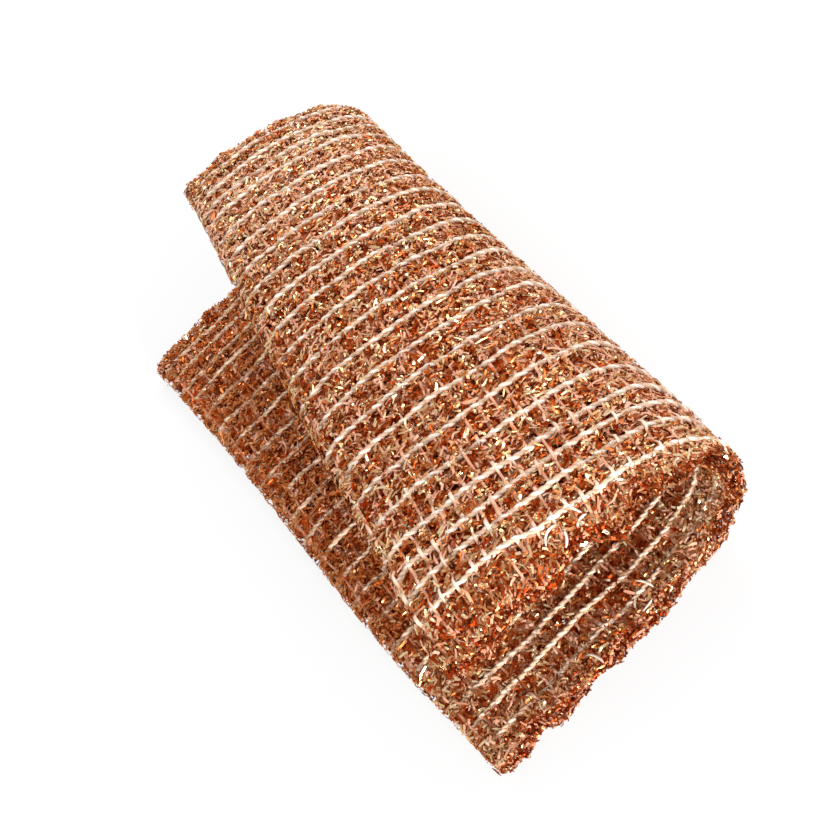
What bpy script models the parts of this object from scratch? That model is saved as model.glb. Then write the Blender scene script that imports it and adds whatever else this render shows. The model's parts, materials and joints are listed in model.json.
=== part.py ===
"""Copper scrubbing cloth, folded over once into an open roll.

The cloth is a flat tube of knitted copper tinsel, so it has two plies that join at both side edges.
White cords run round the tube as ribs, side by side along the roll.
The lower layer lies flat, the fold rises at +X and the flap comes back over the lower layer, clear of it.
The near end of the roll is at -Y, and the roll runs along +Y.

Places on the cloth are flat coordinates: u goes from the lower layer's free edge round the fold to the
flap's free edge, v goes from the near end to the far end, and n is the height over the cloth's middle
surface, positive on the outer side. The function place() folds them into space.
"""

import math

import bmesh
import bpy
from mathutils import Vector

MM = 0.001

# The cloth laid flat
CLOTH_LENGTH = 138 * MM
CLOTH_WRAP = 127 * MM

# Its layers, from the middle surface outwards
PLY_GAP = 0.4 * MM
PLY_THICKNESS = 1.4 * MM
RIB_CLEARANCE = 0.3 * MM
RIB_HEIGHT = 0.9 * MM

# Ribs and cross yarns
RIB_COUNT = 22
CLOSE_RIB_COUNT = 3
RIB_WIDTH = 1.3 * MM
CLOSE_PITCH = 4.4 * MM
NEAR_MARGIN = 7.0 * MM
FAR_MARGIN = 5.0 * MM
YARN_WIDTH = 0.9 * MM
FOLD_YARN_COUNT = 3

# The fold: a flat width at the near end, then arcs that each turn the cloth further
FLAT_WIDTH = 33.5 * MM
LIFT_LENGTH = 18 * MM
LIFT_TURN = math.radians(22)
BEND_LENGTH = 24 * MM
BEND_TURN = math.radians(112)
SHOULDER_LENGTH = 14 * MM
SHOULDER_TURN = math.radians(28)
CROWN_LENGTH = 40 * MM
CROWN_TURN = math.radians(37)

# The fold line lies askew, and the roll is taller at the near end
FOLD_SKEW = math.radians(4.9)
FLAP_SLANT = 0.13
NEAR_RISE_SHARE = 1.13
FAR_RISE_SHARE = 0.87

# The two lines where the cloth hinges, measured from the end of the flat width
LOWER_HINGE_PLACE = 21 * MM
UPPER_HINGE_PLACE = 45 * MM
HINGE_GAP = 0.6 * MM
PRESS_ANGLE = math.radians(12)

# How finely the curved pieces are divided
EDGE_STEPS = 4
FLAP_STEPS = 6
RISE_STEPS = 3
LENGTH_STEPS = 6
NORMAL_STEP = 0.05 * MM

COPPER = (0.72, 0.30, 0.16, 1.0)
COPPER_ROUGHNESS = 0.35
COPPER_METALLIC = 0.9
WHITE_YARN = (0.90, 0.84, 0.78, 1.0)
YARN_ROUGHNESS = 0.75

# Distances from the middle surface
PLY_INNER = PLY_GAP / 2
PLY_OUTER = PLY_INNER + PLY_THICKNESS
RIB_INNER = PLY_OUTER + RIB_CLEARANCE
HALF_THICKNESS = RIB_INNER + RIB_HEIGHT


def clear_scene():
    """Remove every object that the open file holds."""
    for obj in list(bpy.data.objects):
        bpy.data.objects.remove(obj, do_unlink=True)


def make_material(name, colour, roughness, metallic):
    """Return a Principled BSDF material."""
    material = bpy.data.materials.new(name)
    material.use_nodes = True
    shader = material.node_tree.nodes["Principled BSDF"]
    shader.inputs["Base Color"].default_value = colour
    shader.inputs["Roughness"].default_value = roughness
    shader.inputs["Metallic"].default_value = metallic
    material.diffuse_color = colour
    return material


def profile(t):
    """Return the folded middle line's place (along, up) at distance t from the free edge."""
    along = min(t, FLAT_WIDTH)
    up = 0.0
    left = t - along
    heading = 0.0
    arcs = (
        (LIFT_LENGTH, LIFT_TURN),
        (BEND_LENGTH, BEND_TURN),
        (SHOULDER_LENGTH, SHOULDER_TURN),
        (CROWN_LENGTH, CROWN_TURN),
    )
    for length, turn in arcs:
        radius = length / turn
        step = min(left, length) / radius
        along += radius * (math.sin(heading + step) - math.sin(heading))
        up += radius * (math.cos(heading) - math.cos(heading + step))
        heading += step
        left = max(left - length, 0.0)
    return along, up


def middle(u, v):
    """Return the point of the folded middle surface at the flat place (u, v)."""
    t = u * math.cos(FOLD_SKEW) - v * math.sin(FOLD_SKEW)
    slide = FLAP_SLANT * max(t - FLAT_WIDTH - LOWER_HINGE_PLACE, 0.0)
    w = u * math.sin(FOLD_SKEW) + (v - slide) * math.cos(FOLD_SKEW)
    along, up = profile(t)
    rise = NEAR_RISE_SHARE + (FAR_RISE_SHARE - NEAR_RISE_SHARE) * v / CLOTH_LENGTH
    x = along * math.cos(FOLD_SKEW) + w * math.sin(FOLD_SKEW)
    y = w * math.cos(FOLD_SKEW) - along * math.sin(FOLD_SKEW)
    return Vector((x, y, up * rise))


def place(u, v, n):
    """Return the point in space at the flat place (u, v) and height n over the middle surface."""
    along_u = middle(u + NORMAL_STEP, v) - middle(u - NORMAL_STEP, v)
    along_v = middle(u, v + NORMAL_STEP) - middle(u, v - NORMAL_STEP)
    outward = along_v.cross(along_u).normalized()
    return middle(u, v) + outward * n


def hinge_u(hinge_place, side, v, n):
    """Return u where a piece ends at a hinge line; side is -1 before the line and 1 after it.

    The ends draw back towards the inner side, so that the cloth can also be pressed flatter.
    """
    draw_back = HINGE_GAP / 2 + (HALF_THICKNESS - n) * math.tan(PRESS_ANGLE / 2)
    t = FLAT_WIDTH + hinge_place + side * draw_back
    return (t + v * math.sin(FOLD_SKEW)) / math.cos(FOLD_SKEW)


def spread(low, high, steps):
    """Return evenly spaced values from low to high."""
    return [low + (high - low) * i / steps for i in range(steps + 1)]


def edge_loop_path(free_edge, direction, hinge_place, v, radius):
    """Return (u, n) places along a layer that goes round a free edge of the tube.

    direction is 1 where the cloth lies at growing u from its free edge, and -1 on the flap.
    The path starts at the hinge on the outer side and ends at the hinge on the inner side.
    """
    turn_u = free_edge + direction * HALF_THICKNESS
    if direction > 0:
        flat_end = (FLAT_WIDTH + v * math.sin(FOLD_SKEW)) / math.cos(FOLD_SKEW)
        outer_run = [turn_u] + spread(flat_end, hinge_u(hinge_place, -1, v, radius), RISE_STEPS)
        inner_run = [turn_u] + spread(flat_end, hinge_u(hinge_place, -1, v, -radius), RISE_STEPS)
    else:
        outer_run = spread(turn_u, hinge_u(hinge_place, 1, v, radius), FLAP_STEPS)
        inner_run = spread(turn_u, hinge_u(hinge_place, 1, v, -radius), FLAP_STEPS)
    path = [(u, radius) for u in reversed(outer_run)]
    for step in range(1, EDGE_STEPS):
        angle = math.pi * step / EDGE_STEPS
        path.append((turn_u - direction * radius * math.sin(angle), radius * math.cos(angle)))
    path += [(u, -radius) for u in inner_run]
    return path


def fold_strip_path(v, n):
    """Return (u, n) places across the fold, with a pair of places at each cross yarn's sides."""
    low = hinge_u(LOWER_HINGE_PLACE, 1, v, n)
    high = hinge_u(UPPER_HINGE_PLACE, -1, v, n)
    pitch = (high - low) / FOLD_YARN_COUNT
    path = []
    for index in range(FOLD_YARN_COUNT):
        start = low + pitch * index
        centre = start + pitch / 2
        path += [start, centre - YARN_WIDTH / 2, centre + YARN_WIDTH / 2]
    path.append(high)
    return [(u, n) for u in path]


def grid_mesh(name, near_side, far_side, solid):
    """Return a closed mesh between two grids of points.

    near_side[i][j] and far_side[i][j] are the two skins, and solid(i, j) says which cells are filled.
    """
    mesh_data = bmesh.new()
    rows = len(near_side)
    columns = len(near_side[0])
    corners = {}

    def corner(skin, i, j):
        """Return the vertex of one skin, made when it is first needed."""
        if (skin, i, j) not in corners:
            grid = far_side if skin else near_side
            corners[skin, i, j] = mesh_data.verts.new(grid[i][j])
        return corners[skin, i, j]

    def filled(i, j):
        """Say whether a cell exists and is solid."""
        inside = 0 <= i < rows - 1 and 0 <= j < columns - 1
        return inside and solid(i, j)

    def wall(first, second):
        """Close the side between the two skins along one cell border."""
        mesh_data.faces.new(
            (corner(0, *first), corner(0, *second), corner(1, *second), corner(1, *first))
        )

    for i in range(rows - 1):
        for j in range(columns - 1):
            if not filled(i, j):
                continue
            ring = ((i, j), (i + 1, j), (i + 1, j + 1), (i, j + 1))
            for skin in (0, 1):
                mesh_data.faces.new([corner(skin, *at) for at in ring])
            neighbours = ((i, j - 1), (i + 1, j), (i, j + 1), (i - 1, j))
            for side, neighbour in enumerate(neighbours):
                if not filled(*neighbour):
                    wall(ring[side], ring[(side + 1) % len(ring)])
    bmesh.ops.recalc_face_normals(mesh_data, faces=mesh_data.faces)
    bmesh.ops.triangulate(mesh_data, faces=mesh_data.faces)
    mesh = bpy.data.meshes.new(name)
    mesh_data.to_mesh(mesh)
    mesh_data.free()
    return mesh


def always(row, column):
    """Fill every cell of a grid."""
    return True


def skins(paths_inner, paths_outer, v_values):
    """Turn lists of (u, n) places, one list for each v, into two grids of points."""
    inner = [[place(u, v, n) for u, n in path] for path, v in zip(paths_inner, v_values)]
    outer = [[place(u, v, n) for u, n in path] for path, v in zip(paths_outer, v_values)]
    return inner, outer


def edge_loop(name, free_edge, direction, hinge_place, radii, v_values):
    """Return the mesh of a layer that runs from a hinge round a free edge and back."""
    grids = skins(
        [edge_loop_path(free_edge, direction, hinge_place, v, radii[0]) for v in v_values],
        [edge_loop_path(free_edge, direction, hinge_place, v, radii[1]) for v in v_values],
        v_values,
    )
    return grid_mesh(name, grids[0], grids[1], always)


def fold_ply(name, side):
    """Return the mesh of one ply where it goes round the fold; side is 1 outside and -1 inside."""
    v_values = spread(0.0, CLOTH_LENGTH, LENGTH_STEPS)
    grids = skins(
        [fold_strip_path(v, side * PLY_INNER) for v in v_values],
        [fold_strip_path(v, side * PLY_OUTER) for v in v_values],
        v_values,
    )
    return grid_mesh(name, grids[0], grids[1], always)


def rib_places():
    """Return v of each rib: closer together at both ends, and evenly spaced between."""
    close_width = CLOSE_RIB_COUNT * CLOSE_PITCH
    open_count = RIB_COUNT - 1 - 2 * CLOSE_RIB_COUNT
    open_pitch = (CLOTH_LENGTH - NEAR_MARGIN - FAR_MARGIN - 2 * close_width) / open_count
    places = [NEAR_MARGIN]
    for index in range(RIB_COUNT - 1):
        is_close = index < CLOSE_RIB_COUNT or index >= RIB_COUNT - 1 - CLOSE_RIB_COUNT
        places.append(places[-1] + (CLOSE_PITCH if is_close else open_pitch))
    return places


def fold_net(name, side):
    """Return the mesh of the ribs and cross yarns round the fold, joined where they cross."""
    v_values = []
    for v in rib_places():
        v_values += [v - RIB_WIDTH / 2, v + RIB_WIDTH / 2]
    grids = skins(
        [fold_strip_path(v, side * RIB_INNER) for v in v_values],
        [fold_strip_path(v, side * HALF_THICKNESS) for v in v_values],
        v_values,
    )

    def is_cord(row, column):
        """A cell is solid on a rib, which fills even rows, or on a yarn, each third column."""
        return row % 2 == 0 or column % 3 == 1

    return grid_mesh(name, grids[0], grids[1], is_cord)


def lower_meshes():
    """Return the meshes of the lower layer, as (mesh, is_rib) pairs."""
    tube_rows = spread(0.0, CLOTH_LENGTH, LENGTH_STEPS)
    layer = (0.0, 1, LOWER_HINGE_PLACE)
    meshes = [(edge_loop("lower_tube", *layer, (PLY_INNER, PLY_OUTER), tube_rows), False)]
    for number, v in enumerate(rib_places(), start=1):
        rows = [v - RIB_WIDTH / 2, v + RIB_WIDTH / 2]
        rib = edge_loop(f"lower_rib_{number:02d}", *layer, (RIB_INNER, HALF_THICKNESS), rows)
        meshes.append((rib, True))
    return meshes


def fold_meshes():
    """Return the meshes of the strip that goes round the fold, as (mesh, is_rib) pairs."""
    return [
        (fold_ply("fold_outer_ply", 1), False),
        (fold_ply("fold_inner_ply", -1), False),
        (fold_net("fold_outer_net", 1), True),
        (fold_net("fold_inner_net", -1), True),
    ]


def flap_meshes():
    """Return the meshes of the flap, as (mesh, is_rib) pairs."""
    tube_rows = spread(0.0, CLOTH_LENGTH, LENGTH_STEPS)
    layer = (CLOTH_WRAP, -1, UPPER_HINGE_PLACE)
    meshes = [(edge_loop("flap_tube", *layer, (PLY_INNER, PLY_OUTER), tube_rows), False)]
    for number, v in enumerate(rib_places(), start=1):
        rows = [v - RIB_WIDTH / 2, v + RIB_WIDTH / 2]
        rib = edge_loop(f"flap_rib_{number:02d}", *layer, (RIB_INNER, HALF_THICKNESS), rows)
        meshes.append((rib, True))
    return meshes


def hinge_point(hinge_place, v):
    """Return a point of a hinge axis, which lies on the cloth's outer surface."""
    t = FLAT_WIDTH + hinge_place
    u = (t + v * math.sin(FOLD_SKEW)) / math.cos(FOLD_SKEW)
    return place(u, v, HALF_THICKNESS)


def add_pivot(name, location, axis, parent):
    """Return an empty on a hinge axis, with its own Y axis along it."""
    pivot = bpy.data.objects.new(name, None)
    bpy.context.collection.objects.link(pivot)
    pivot.parent = parent
    pivot.rotation_mode = "QUATERNION"
    turn = axis.to_track_quat("Y", "Z")
    if parent is None:
        pivot.location = location
        pivot.rotation_quaternion = turn
    else:
        back = parent.rotation_quaternion.inverted()
        pivot.location = back @ (location - parent.location)
        pivot.rotation_quaternion = back @ turn
    return pivot


def add_pieces(meshes, materials, shift, pivot, pivot_place):
    """Make one object for each mesh, with its origin at the pivot that carries it."""
    tinsel, yarn = materials
    for mesh, is_rib in meshes:
        mesh.materials.append(yarn if is_rib else tinsel)
        obj = bpy.data.objects.new(mesh.name, mesh)
        bpy.context.collection.objects.link(obj)
        obj.parent = pivot
        turn_back = pivot.matrix_world.to_3x3().inverted() if pivot else None
        for vertex in mesh.vertices:
            point = vertex.co + shift - pivot_place
            vertex.co = turn_back @ point if pivot else point
        mesh.shade_smooth()
        mesh.set_sharp_from_angle(angle=math.radians(40))


def base_shift(meshes):
    """Return the move that brings the middle of the cloth's base to the origin."""
    points = [vertex.co for mesh, is_rib in meshes for vertex in mesh.vertices]
    low = [min(point[axis] for point in points) for axis in range(3)]
    high = [max(point[axis] for point in points) for axis in range(3)]
    return Vector((-(low[0] + high[0]) / 2, -(low[1] + high[1]) / 2, -low[2]))


def build():
    """Build the cloth and set it on the ground with its origin under its middle."""
    clear_scene()
    tinsel = make_material("copper_tinsel", COPPER, COPPER_ROUGHNESS, COPPER_METALLIC)
    yarn = make_material("white_yarn", WHITE_YARN, YARN_ROUGHNESS, 0.0)
    materials = (tinsel, yarn)
    lower = lower_meshes()
    fold = fold_meshes()
    flap = flap_meshes()
    shift = base_shift(lower + fold + flap)
    origin = Vector((0.0, 0.0, 0.0))
    add_pieces(lower, materials, shift, None, origin)
    pivots = []
    for name, hinge_place in (("lower_fold", LOWER_HINGE_PLACE), ("upper_fold", UPPER_HINGE_PLACE)):
        near = hinge_point(hinge_place, 0.0) + shift
        far = hinge_point(hinge_place, CLOTH_LENGTH) + shift
        parent = pivots[-1][0] if pivots else None
        centre = (near + far) / 2
        pivots.append((add_pivot(name, centre, far - near, parent), centre))
        bpy.context.view_layer.update()
    add_pieces(fold, materials, shift, pivots[0][0], pivots[0][1])
    add_pieces(flap, materials, shift, pivots[1][0], pivots[1][1])


build()
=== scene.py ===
"""Looks of the copper scrubbing cloth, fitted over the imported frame.

The cloth is a flat tube of knitted copper tinsel with white cords round it, folded over once.
Places on the cloth are the same flat coordinates as in the part's source: u goes round the fold, v goes
from the near end to the far end, and n is the height over the middle surface. Places on the tube itself
are s, the distance round it from a free edge, which is positive on the outer side, v, and h, the height
over the tube's middle.
"""
import json
import math

import bpy
import numpy as np
from mathutils import Matrix, Vector


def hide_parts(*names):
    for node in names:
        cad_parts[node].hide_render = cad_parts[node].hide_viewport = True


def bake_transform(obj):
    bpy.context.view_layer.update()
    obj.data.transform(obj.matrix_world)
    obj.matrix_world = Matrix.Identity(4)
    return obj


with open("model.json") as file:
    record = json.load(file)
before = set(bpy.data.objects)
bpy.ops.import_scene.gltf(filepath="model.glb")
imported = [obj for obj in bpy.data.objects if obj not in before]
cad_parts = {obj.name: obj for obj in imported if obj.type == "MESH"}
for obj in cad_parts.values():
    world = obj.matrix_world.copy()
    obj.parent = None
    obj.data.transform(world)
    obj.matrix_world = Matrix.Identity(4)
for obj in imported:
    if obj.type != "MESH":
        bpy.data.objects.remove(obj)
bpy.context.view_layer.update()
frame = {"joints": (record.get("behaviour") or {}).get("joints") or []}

MM = 0.001

# Sizes repeated from the part's source; the split is halfway between the hinges
CLOTH_LENGTH = 138 * MM
CLOTH_WRAP = 127 * MM
HALF_THICKNESS = 2.8 * MM
RIB_COUNT = 22
CLOSE_RIB_COUNT = 3
CLOSE_PITCH = 4.4 * MM
NEAR_MARGIN = 7.0 * MM
FAR_MARGIN = 5.0 * MM
FLAT_WIDTH = 33.5 * MM
FOLD_ARCS = (
    (18 * MM, math.radians(22)),
    (24 * MM, math.radians(112)),
    (14 * MM, math.radians(28)),
    (40 * MM, math.radians(37)),
)
FOLD_SKEW = math.radians(4.9)
FLAP_SLANT = 0.13
NEAR_RISE_SHARE = 1.13
FAR_RISE_SHARE = 0.87
LOWER_HINGE_PLACE = 21 * MM
SPLIT_PLACE = 33 * MM
NORMAL_STEP = 0.05 * MM

# The turn of each side edge, measured along the tube, and how far the edges bow out, by v
EDGE_RUN = 2.6 * MM
BOW_PLACES = np.array([0, 12, 28, 49, 83, 106, 125, 138]) * MM
EDGE_BOW = {
    "lower": np.array([-0.4, 0.55, 1.5, 1.6, 0.8, 0.45, 0.8, 0.9]) * MM,
    "flap": np.array([0.0, 0.0, 0.0, 0.0, -0.4, -0.8, -1.1, -1.2]) * MM,
}

# The fold swells a little more towards the near end
SWELL = 2.3 * MM
SWELL_PLACE = 66 * MM
SWELL_WIDTH = 20 * MM
SWELL_LENGTH = 115 * MM

# The loose near edge of the flap droops into the roll's mouth
DROOP = 4.2 * MM
DROOP_START = 7.0 * MM
DROOP_LENGTH = 10.5 * MM
DROOP_LIMIT = 1.4
DROOP_PLACE = 62 * MM
DROOP_WIDTH = 23 * MM

# How far each cut end is trimmed, by u, and the small scallops along it
NEAR_PLACES = np.array([0, 6, 11.5, 17, 27, 34, 40, 53, 61, 70, 80, 90, 110, 127]) * MM
NEAR_TRIM = np.array([0.9, 1.7, 3.3, 2.0, 2.9, 2.2, 2.9, 3.2, 3.3, 2.4, 1.0, -0.8, -1.8, -1.6]) * MM
FAR_PLACES = np.array([0, 20, 40, 60, 75, 85, 98, 112, 120, 127]) * MM
FAR_TRIM = np.array([-0.5, -0.4, 0.4, 1.2, 3.0, 3.7, 3.0, 1.3, 1.6, 2.0]) * MM
NEAR_SCALLOP = 0.8 * MM
FAR_SCALLOP = 0.6 * MM
SCALLOP_SIZE = 6.5 * MM
SCALLOP_FACE_STEP = 0.013
SCALLOP_END_STEP = 0.5

# How far the ribs of the flap and of the lower layer lean from their plain places, by v
LEAN_PLACES = np.array([7, 12, 24, 34, 45, 60, 90, 110, 130]) * MM
FLAP_LEAN = np.array([3.75, 2.7, 2.5, 1.9, 1.2, 1.1, 1.0, 0.6, 0.4]) * MM
FOLD_LEAN = np.array([1.9, 1.9, 1.9, 2.1, 2.3, 2.5, 2.5, 2.3, 2.0]) * MM
LOWER_LEAN = np.array([0.0, 0.3, 0.9, 1.7, 2.2, 2.2, 1.6, 1.7, 1.4]) * MM

# How the ribs wander; each rib and each face has its own row of the noise
RIB_WANDER_DEPTH = 0.28 * MM
RIB_RIPPLE_DEPTH = 0.20 * MM
RIB_WANDER_FADE = 9 * MM
RIB_ROW_STEP = 0.047
INNER_ROW_STEP = 0.31

# The knitted web under the strips
WEB_CELL = 0.8 * MM
WEB_MARGIN = 1.2 * MM
WEB_HEIGHT = 1.0 * MM
WEB_LIFT = 0.35 * MM
WEB_RUFFLE = 0.25 * MM
WEB_LOWEST = 0.3 * MM
WEB_HIGHEST = 2.0 * MM
OPEN_CELL_LEVEL = 0.85

# Strips of tinsel on the faces; their lowest, commonest and highest places are in millimetres
RIBBONS_PER_FACE = 46000
RIBBON_STEPS = 3
RIBBON_HEIGHTS = (0.5, 2.1, 2.5)
RIBBON_SCATTER = 0.35 * MM
RIBBON_LOWEST = 0.4 * MM
RIBBON_FLOOR_LIMIT = 2.2 * MM
RIBBON_TAPER = 0.15
RIB_DIP = 0.20 * MM
EDGE_TOP = 2.0 * MM
FACE_TOP = 2.5 * MM
EDGE_ZONE = 6 * MM
EDGE_LOOSENESS = 0.25
THIN_LEVEL = 0.48
THIN_KEPT = 0.30
CLUSTER = 3
# Share of strips given a pale tone at random, as painted glints
PAINTED_GLINT_SHARE = 0.06
ABOVE_FLOOR = 0.05 * MM

# Strips of tinsel along the cut ends
FRINGE_RIBBONS = 5600
FRINGE_DEPTH = 5.5 * MM
FRINGE_CROWDING = 1.7
FRINGE_SCALE = 0.85
FRINGE_FIBRES = 0.08
LOWER_NEAR_FIBRES = 0.18

# The share of strips that are white fibres, and how they differ from tinsel
FIBRE_SHARE = 0.08
FIBRE_WIDTH = 1.1
FIBRE_TILT = 0.4
FIBRE_TONE = 0.36

# Cords of two strands, the second strand thicker and duller
CORD_HEIGHT = 1.94 * MM
CORD_STEP = 0.36 * MM
CORD_SLACK = 0.22 * MM
INNER_CORD_DROP = 0.25 * MM
EDGE_CORD_DROP = 0.75 * MM
STRAND_OFFSETS = (0.20 * MM, 0.14 * MM)
STRAND_RADII = (0.34 * MM, 0.37 * MM)
RING_SIDES = 6

# Cross yarns and loose ends of yarn
YARN_PITCH = 2.75 * MM
YARN_STEP = 0.7 * MM
YARN_WIDTH = 0.33 * MM
YARN_WANDER = 0.3 * MM
YARN_NEAR_MARGIN = 0.8 * MM
YARN_FAR_MARGIN = 1.0 * MM
YARN_LOWEST = 0.3 * MM
YARN_HIGHEST = 2.7 * MM
YARN_CROSSING = 1.25 * MM
CROSSING_SHIFT = 0.35 * MM
LOOSE_ENDS = 10
LOOSE_END_STEPS = 9
LOOSE_END_RADIUS = 0.24 * MM

# The photograph's camera, in metres, found by fitting the cloth's outline and ribs
CAMERA_PLACE = (-0.0100125, -0.196404, 0.220264)
CAMERA_AIM = (0.02139732, 0.67927425, -0.73357253)
CAMERA_ROLL = math.radians(-1.69092 + 45.0)
CAMERA_FOCAL_PIXELS = 1500.0
CAMERA_SENSOR = 36.0
PHOTO_LONG_SIDE = 828.0

# The studio: each lamp's name, place, size and power
LAMPS = (
    ("key_light", (0.25, 0.20, 0.32), 0.20, 0.9),
    ("front_light", (0.07, -0.42, 0.24), 0.18, 0.55),
    ("mouth_light", (-0.05, -0.40, 0.08), 0.10, 1.9),
)
LAMP_AIM = (0.0, 0.0, 0.02)
WORLD_STRENGTH = 0.73
FLOOR_HALF_SIDE = 3.0
FLOOR_WHITENESS = 0.8


# Smooth steps and noise


def ease(value):
    """Return a smooth step from 0 to 1 as the value goes from 0 to 1."""
    value = np.clip(value, 0.0, 1.0)
    return value * value * (3 - 2 * value)


def rise(value, start, width):
    """Return a smooth step from 0 to 1 as the value goes from the start over the width."""
    return ease((value - start) / width)


def fall(value, end, width):
    """Return a smooth step from 1 to 0, which takes the width and reaches 0 at the end."""
    return ease((end - value) / width)


def smooth_noise(seed, size, terms=14):
    """Return a smooth random function of two lengths, about -1 to 1, with bumps of a size."""
    rng = np.random.default_rng(seed)
    angle = rng.uniform(0, 2 * math.pi, terms)
    wave = 2 * math.pi / size * rng.uniform(0.35, 1.0, terms)
    phase = rng.uniform(0, 2 * math.pi, terms)

    def value(x, y):
        total = 0.0
        for k in range(terms):
            total = total + np.sin(wave[k] * (x * math.cos(angle[k]) + y * math.sin(angle[k])) + phase[k])
        return total / math.sqrt(terms / 2) / 1.5

    return value


SCALLOP = smooth_noise(10, SCALLOP_SIZE)
RIB_WANDER = smooth_noise(11, 26 * MM)
RIB_RIPPLE = smooth_noise(12, 6 * MM)
THIN_NOISE = {"lower": smooth_noise(13, 2.8 * MM, 24), "flap": smooth_noise(14, 2.8 * MM, 24)}


# The folded cloth


def unit(vectors):
    """Return rows of vectors with length one."""
    return vectors / np.maximum(np.linalg.norm(vectors, axis=-1, keepdims=True), 1e-12)


def profile(t):
    """Return the folded middle line's places (along, up) at distances t from the free edge."""
    along = np.minimum(t, FLAT_WIDTH)
    up = np.zeros_like(t)
    left = t - along
    heading = np.zeros_like(t)
    for length, turn in FOLD_ARCS:
        radius = length / turn
        step = np.minimum(left, length) / radius
        along = along + radius * (np.sin(heading + step) - np.sin(heading))
        up = up + radius * (np.cos(heading) - np.cos(heading + step))
        heading = heading + step
        left = np.maximum(left - length, 0.0)
    return along + left * np.cos(heading), up + left * np.sin(heading)


def middle(u, v):
    """Return the points of the folded middle surface at the flat places (u, v)."""
    t = u * math.cos(FOLD_SKEW) - v * math.sin(FOLD_SKEW)
    slide = FLAP_SLANT * np.maximum(t - FLAT_WIDTH - LOWER_HINGE_PLACE, 0.0)
    w = u * math.sin(FOLD_SKEW) + (v - slide) * math.cos(FOLD_SKEW)
    along, up = profile(t)
    lift = NEAR_RISE_SHARE + (FAR_RISE_SHARE - NEAR_RISE_SHARE) * v / CLOTH_LENGTH
    x = along * math.cos(FOLD_SKEW) + w * math.sin(FOLD_SKEW)
    y = w * math.cos(FOLD_SKEW) - along * math.sin(FOLD_SKEW)
    return np.stack([x, y, up * lift], axis=-1)


def stand_out(u, v):
    """Return how far the cloth stands off its plain shape: out at the fold, in at the loose edge."""
    swell = SWELL * np.exp(-(((u - SWELL_PLACE) / SWELL_WIDTH) ** 2)) * fall(v, SWELL_LENGTH, SWELL_LENGTH)
    beyond = np.clip((DROOP_START - v) / DROOP_LENGTH, 0.0, DROOP_LIMIT)
    return swell - DROOP * beyond ** 2 * rise(u, DROOP_PLACE, DROOP_WIDTH)


def place(u, v, n):
    """Return the points at the flat places (u, v) and heights n, before the shift to the frame."""
    u, v, n = np.broadcast_arrays(np.asarray(u, float), v, n)
    along_u = middle(u + NORMAL_STEP, v) - middle(u - NORMAL_STEP, v)
    along_v = middle(u, v + NORMAL_STEP) - middle(u, v - NORMAL_STEP)
    return middle(u, v) + unit(np.cross(along_v, along_u)) * (n + stand_out(u, v))[..., None]


def u_at(t, v):
    """Return u where the line at distance t from the free edge crosses v."""
    return (t + v * math.sin(FOLD_SKEW)) / math.cos(FOLD_SKEW)


def frame_shift():
    """Return the move from the source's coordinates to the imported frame's."""
    ends = np.array([0.0, CLOTH_LENGTH])
    hinge = place(u_at(FLAT_WIDTH + LOWER_HINGE_PLACE, ends), ends, HALF_THICKNESS).mean(axis=0)
    shift = np.array(frame["joints"][0]["pos_m"]) - hinge
    shift[2] = HALF_THICKNESS
    return shift


SHIFT = frame_shift()


class Layer:
    """Half of the tube: from the middle of the fold round one free edge and back."""

    def __init__(self, name, free_edge, direction, body_pair):
        self.name = name
        self.direction = direction
        self.body_pair = body_pair
        self.free_edge = free_edge
        self.bow = EDGE_BOW[name]

    def turn_u(self, v):
        """Return u where the cloth starts to turn round its edge, which bows out a little."""
        bow = np.interp(v, BOW_PLACES, self.bow)
        return self.free_edge + self.direction * (HALF_THICKNESS - bow)

    def reach(self, v):
        """Return the distance along the tube from its edge to the middle of the fold."""
        return np.abs(u_at(FLAT_WIDTH + SPLIT_PLACE, v) - self.turn_u(v)) + EDGE_RUN

    def flat_u(self, s, v):
        """Return u at a distance s along the tube, positive on the outer side."""
        return self.turn_u(v) + self.direction * np.maximum(np.abs(s) - EDGE_RUN, 0.0)

    def points(self, s, v, h):
        """Return the points at distance s along the tube, at v, and at h over its middle."""
        angle = np.clip(s / EDGE_RUN, -1.0, 1.0) * math.pi / 2
        u = self.flat_u(s, v) - self.direction * h * np.cos(angle)
        return place(u, v, h * np.sin(angle)) + SHIFT

    def near_line(self, s):
        """Return v of the ragged near edge at a distance s along the tube."""
        u = self.flat_u(s, 0.0)
        scallop = SCALLOP(u, np.sign(s) * SCALLOP_FACE_STEP)
        return np.interp(u, NEAR_PLACES, NEAR_TRIM) + NEAR_SCALLOP * scallop

    def far_line(self, s):
        """Return v of the ragged far edge at a distance s along the tube."""
        u = self.flat_u(s, CLOTH_LENGTH)
        scallop = SCALLOP(u, SCALLOP_END_STEP + np.sign(s) * SCALLOP_FACE_STEP)
        return CLOTH_LENGTH - np.interp(u, FAR_PLACES, FAR_TRIM) + FAR_SCALLOP * scallop

    def frames(self, s, v, h):
        """Return the points and the unit directions along s, along v and outwards."""
        step = NORMAL_STEP
        point = self.points(s, v, h)
        along_s = unit(self.points(s + step, v, h) - self.points(s - step, v, h))
        outward = unit(self.points(s, v, h + step) - self.points(s, v, h - step))
        along_v = unit(self.points(s, v + step, h) - self.points(s, v - step, h))
        along_v = unit(along_v - along_s * (along_v * along_s).sum(-1, keepdims=True))
        return point, along_s, along_v, outward


LOWER = Layer("lower", 0.0, 1, ("lower_layer", "fold_strip"))
FLAP = Layer("flap", CLOTH_WRAP, -1, ("fold_strip", "flap"))
LAYERS = (LOWER, FLAP)


# The ribs


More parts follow.
